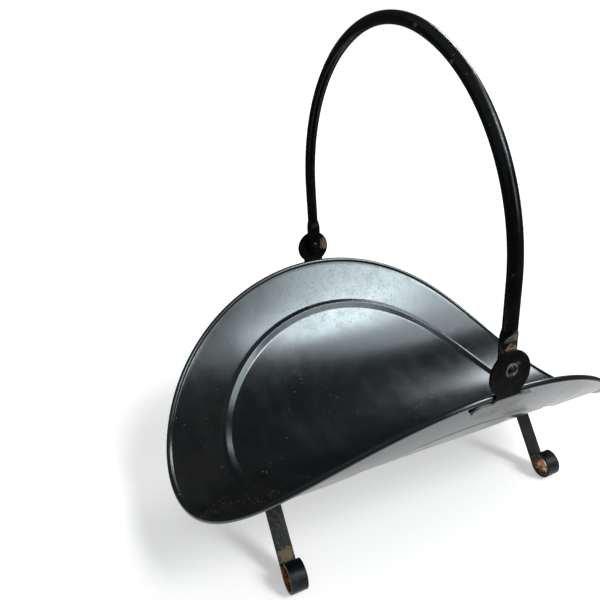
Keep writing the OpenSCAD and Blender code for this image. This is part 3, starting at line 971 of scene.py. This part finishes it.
def handle_half():
    """One half of the handle's centre line from the tip of its eye up to the crown, as
    (across, up, angle of the outward side, half thickness, half width, squareness)."""
    eye_r = EYE_W / 2
    flat_t = EYE_T / 2
    line = []
    for i in range(TIP_STEPS):
        to_tip = 1 - i / TIP_STEPS
        a = math.pi / 2 * to_tip
        thin = 1 - TIP_THINNING * to_tip ** TIP_POWER
        line.append((LEG_Y, -eye_r * math.sin(a), 0, flat_t * thin,
                     max(eye_r * math.cos(a), TIP_HALF_W), FLAT_SECTION))
    for i in range(FLAT_STEPS):
        line.append((LEG_Y, FLAT_L * i / FLAT_STEPS, 0, flat_t, eye_r, FLAT_SECTION))
    for i in range(TAPER_STEPS + 1):
        t = ease(i / TAPER_STEPS)
        v = FLAT_L + TAPER_L * i / TAPER_STEPS
        line.append((LEG_Y + t * v * math.tan(LEG_LEAN), v, -t * LEG_LEAN,
                     flat_t + t * (BAR_R - flat_t), eye_r + t * (BAR_R - eye_r),
                     ROUND_SECTION + (FLAT_SECTION - ROUND_SECTION) * (1 - t)))
    start = Vector((LEG_Y + LEG_L * math.sin(LEG_LEAN), LEG_L * math.cos(LEG_LEAN)))
    side_mid = start + SIDE_R * Vector((-math.cos(LEG_LEAN), math.sin(LEG_LEAN)))
    side_end = math.acos(-side_mid.x / (SIDE_R - CROWN_R))
    crown_z = side_mid.y + (SIDE_R - CROWN_R) * math.sin(side_end)
    for i in range(1, LEG_STEPS):
        v = FLAT_L + TAPER_L + (start.y - FLAT_L - TAPER_L) * i / LEG_STEPS
        line.append((LEG_Y + v * math.tan(LEG_LEAN), v, -LEG_LEAN, BAR_R, BAR_R,
                     ROUND_SECTION))
    for i in range(SIDE_STEPS + 1):
        a = -LEG_LEAN + (side_end + LEG_LEAN) * i / SIDE_STEPS
        line.append((side_mid.x + SIDE_R * math.cos(a), side_mid.y + SIDE_R * math.sin(a),
                     a, BAR_R, BAR_R, ROUND_SECTION))
    for i in range(1, CROWN_STEPS + 1):
        a = side_end + (math.pi / 2 - side_end) * i / CROWN_STEPS
        line.append((CROWN_R * math.cos(a), crown_z + CROWN_R * math.sin(a),
                     a, BAR_R, BAR_R, ROUND_SECTION))
    return line


def squared(value, squareness):
    """A sine or cosine, pushed out so that an ellipse grows squarer."""
    return math.copysign(abs(value) ** (2 / squareness), value)


def handle():
    """The hoop with its two flattened ends, drilled, and tipped as it rests."""
    half = handle_half()
    stations = [(*p, 1) for p in half] + [(*p, -1) for p in reversed(half[:-1])]

    def place(station, k):
        y, z, out, thick, wide, squareness, side = station
        a = math.tau * k / BAR_SIDES
        push = thick * squared(math.cos(a), squareness)
        x = wide * squared(math.sin(a), squareness)
        return Vector((x, side * (y + push * math.cos(out)), z + push * math.sin(out)))

    bm = bmesh.new()
    sweep(bm, stations, BAR_SIDES, place)
    for side in (-1, 1):
        bm = drill(bm, side * LEG_Y, 0, RIVET_R + PIN_CLEAR, 3 * EYE_T)
    bmesh.ops.rotate(bm, verts=bm.verts, matrix=Matrix.Rotation(-REST_TIP, 3, "Y"))
    bmesh.ops.translate(bm, verts=bm.verts, vec=(0, 0, PIVOT_Z))
    return bm


def cap(radius, height):
    """Section of a low round cap, from the middle of its top out to its edge."""
    ball = (radius ** 2 + height ** 2) / (2 * height)
    reach = math.degrees(math.asin(radius / ball))
    return [(r, z - ball + height) for r, z in arc((0, 0), ball, 90, 90 - reach, CAP_STEPS)]


def turned_at_pivot(section, sides):
    """A piece whose section, as (radius, y), is spun round the pivot's axis."""
    bm = bmesh.new()
    turn_round(bm, [(r, y, 0) for r, y in section], (0, 1, 0), sides)
    bmesh.ops.translate(bm, verts=bm.verts, vec=(0, 0, PIVOT_Z))
    return bm


def rivet():
    """The rear pivot rivet: a plain shank with a low cap on each end."""
    head = [(r, HEAD_Y + z) for r, z in cap(HEAD_R, HEAD_H)]
    tail = [(r, TAIL_Y - z) for r, z in reversed(cap(TAIL_R, TAIL_H))]
    return turned_at_pivot(head + [(RIVET_R, HEAD_Y), (RIVET_R, TAIL_Y)] + tail,
                           RIVET_SIDES)


def washer():
    """The rear washer, with the outer edge of its face rounded."""
    bore = RIVET_R + RIVET_GAP
    low = HEAD_Y - WASHER_T
    rim = arc((WASHER_R - WASHER_ROUND, HEAD_Y - WASHER_ROUND), WASHER_ROUND, 0, 90,
              WASHER_ROUND_STEPS)
    return turned_at_pivot([(bore, low), (WASHER_R, low)] + rim + [(bore, HEAD_Y), (bore, low)],
                           WASHER_SIDES)


def strap_half(spread):
    """Half of a strap's middle line, as (across, up, direction): under the panel, round
    the turn, down the leg and round the curl."""
    middle_h = PANEL_H - SHEET_T - WELD_GAP - STRAP_T / 2
    curl_r = (CURL_D - STRAP_T) / 2
    curl_z = CURL_D / 2 - FOOT_WEAR
    turn_in = slope(STRAP_LEAVE)
    turn_mid = (across(STRAP_LEAVE, middle_h)
                + TURN_R * Vector((math.sin(turn_in), -math.cos(turn_in))))
    reach = Vector((spread, curl_z)) - turn_mid
    lean = math.atan2(reach.y, reach.x) - math.asin((TURN_R + curl_r) / reach.length)
    line = []
    for i in range(UNDER_STEPS + 1):
        s = STRAP_LEAVE * i / UNDER_STEPS
        p = across(s, middle_h)
        line.append((p.x, p.y, slope(s)))
    for i in range(1, TURN_STEPS + 1):
        a = turn_in + (lean - turn_in) * i / TURN_STEPS
        line.append((turn_mid.x - TURN_R * math.sin(a), turn_mid.y + TURN_R * math.cos(a), a))
    start_y, start_z, _ = line[-1]
    end_y = spread + curl_r * math.sin(lean)
    end_z = curl_z - curl_r * math.cos(lean)
    for i in range(1, STRAP_LEG_STEPS):
        line.append((start_y + (end_y - start_y) * i / STRAP_LEG_STEPS,
                     start_z + (end_z - start_z) * i / STRAP_LEG_STEPS, lean))
    for i in range(CURL_STEPS + 1):
        a = lean + CURL_TURN * i / CURL_STEPS
        line.append((spread + curl_r * math.sin(a), curl_z - curl_r * math.cos(a), a))
    return line


def strap(x, spread):
    """A strap, its section a bar with rounded corners, worn flat where it meets the floor."""
    half = strap_half(spread)
    stations = [(*p, -1) for p in reversed(half[1:])] + [(*p, 1) for p in half]

    def place(station, k):
        y, z, along, side = station
        corner = k // STRAP_CORNER
        a = math.pi / 2 * (corner + (k % STRAP_CORNER) / (STRAP_CORNER - 1))
        wide = (STRAP_W / 2 - STRAP_ROUND) * (1 if corner in (0, 3) else -1)
        thick = (STRAP_T / 2 - STRAP_ROUND) * (1 if corner in (0, 1) else -1)
        off = thick + STRAP_ROUND * math.sin(a)
        return Vector((x + wide + STRAP_ROUND * math.cos(a),
                       side * (y - off * math.sin(along)),
                       max(z + off * math.cos(along), 0)))

    bm = bmesh.new()
    sweep(bm, stations, 4 * STRAP_CORNER, place)
    round_rims(bm, STRAP_END_ROUND, segments=2, limited=True)
    return bm


# The pieces, each in the place of its node

PAINTS = {
    "pan_paint": pan_paint(),
    "black_paint": black_paint(),
    "handle_paint": handle_paint(),
    "rivet_steel": rivet_steel(),
    "strap_paint": strap_paint(),
}


def make_piece(bm, name, body, slot, node):
    """Finishes a mesh as a piece that stands for a node of the frame."""
    bmesh.ops.remove_doubles(bm, verts=bm.verts, dist=SAME_PLACE)
    bmesh.ops.recalc_face_normals(bm, faces=bm.faces)
    for f in bm.faces:
        f.smooth = True
    for e in bm.edges:
        e.smooth = e.calc_face_angle(0) < SHARP_ANGLE
    mesh = bpy.data.meshes.new(name)
    bm.to_mesh(mesh)
    bm.free()
    mesh.materials.append(PAINTS[slot])
    piece = bpy.data.objects.new(name, mesh)
    bpy.context.scene.collection.objects.link(piece)
    even = piece.modifiers.new("even_shading", "WEIGHTED_NORMAL")
    even.keep_sharp = True
    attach(piece, body)
    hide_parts(node)


make_piece(pan(), "pan_dish", "carrier", "pan_paint", "pan")
make_piece(handle(), "hoop_handle", "handle", "handle_paint", "handle")
for end in ("rear", "front"):
    for shape, name, slot in ((ear, "ear", "black_paint"), (rivet, "rivet", "rivet_steel"),
                              (washer, "washer", "rivet_steel")):
        bm = shape()
        if end == "front":
            to_front(bm)
        make_piece(bm, f"{end}_{name}_shape", "carrier", slot, f"{end}_{name}")
for end, x, spread in (("left", -STRAP_X, LEFT_SPREAD), ("right", STRAP_X, RIGHT_SPREAD)):
    make_piece(strap(x, spread), f"{end}_strap", "carrier", "strap_paint",
               f"{end}_leg_strap")


# Studio

def floor():
    bm = bmesh.new()
    bmesh.ops.create_grid(bm, x_segments=FLOOR_CELLS, y_segments=FLOOR_CELLS, size=FLOOR_HALF)
    mesh = bpy.data.meshes.new("floor")
    bm.to_mesh(mesh)
    bm.free()
    mesh.materials.append(studio_floor())
    ground = bpy.data.objects.new("floor", mesh)
    bpy.context.scene.collection.objects.link(ground)


def soft_sun(name, azimuth, elevation, strength, width):
    """A wide soft light from a direction."""
    light = bpy.data.lights.new(name, "SUN")
    light.energy = strength
    light.angle = math.radians(width)
    lamp = bpy.data.objects.new(name, light)
    lamp.rotation_euler = (math.radians(90 - elevation), 0, math.radians(azimuth))
    bpy.context.scene.collection.objects.link(lamp)


def sky():
    """A plain even sky, which looks brighter to the camera than it lights the carrier."""
    world = bpy.data.worlds.new("studio")
    world.use_nodes = True
    tree = world.node_tree
    lit = tree.nodes["Background"]
    lit.inputs["Color"].default_value = (*SKY_LIGHT, 1)
    shown = put(tree, "Background", {"Color": (*SKY_SEEN, 1)})
    pick = put(tree, "MixShader", {0: put(tree, "LightPath").outputs["Is Camera Ray"],
                                   1: lit.outputs[0], 2: shown.outputs[0]})
    tree.links.new(pick.outputs[0], tree.nodes["World Output"].inputs["Surface"])
    bpy.context.scene.world = world


def camera():
    data = bpy.data.cameras.new("camera")
    data.lens = CAMERA_LENS
    data.sensor_width = CAMERA_SENSOR
    data.shift_x, data.shift_y = CAMERA_SHIFT
    viewer = bpy.data.objects.new("camera", data)
    turn = (Matrix.Rotation(CAMERA_AZIMUTH, 4, "Z")
            @ Matrix.Rotation(math.pi / 2 - CAMERA_ELEVATION, 4, "X")
            @ Matrix.Rotation(CAMERA_ROLL, 4, "Z"))
    viewer.matrix_world = Matrix.Translation(CAMERA_PLACE) @ turn
    bpy.context.scene.collection.objects.link(viewer)
    bpy.context.scene.camera = viewer


floor()
for name, light in LIGHTS.items():
    soft_sun(name, *light)
sky()
camera()
bpy.context.scene.view_settings.view_transform = "Standard"
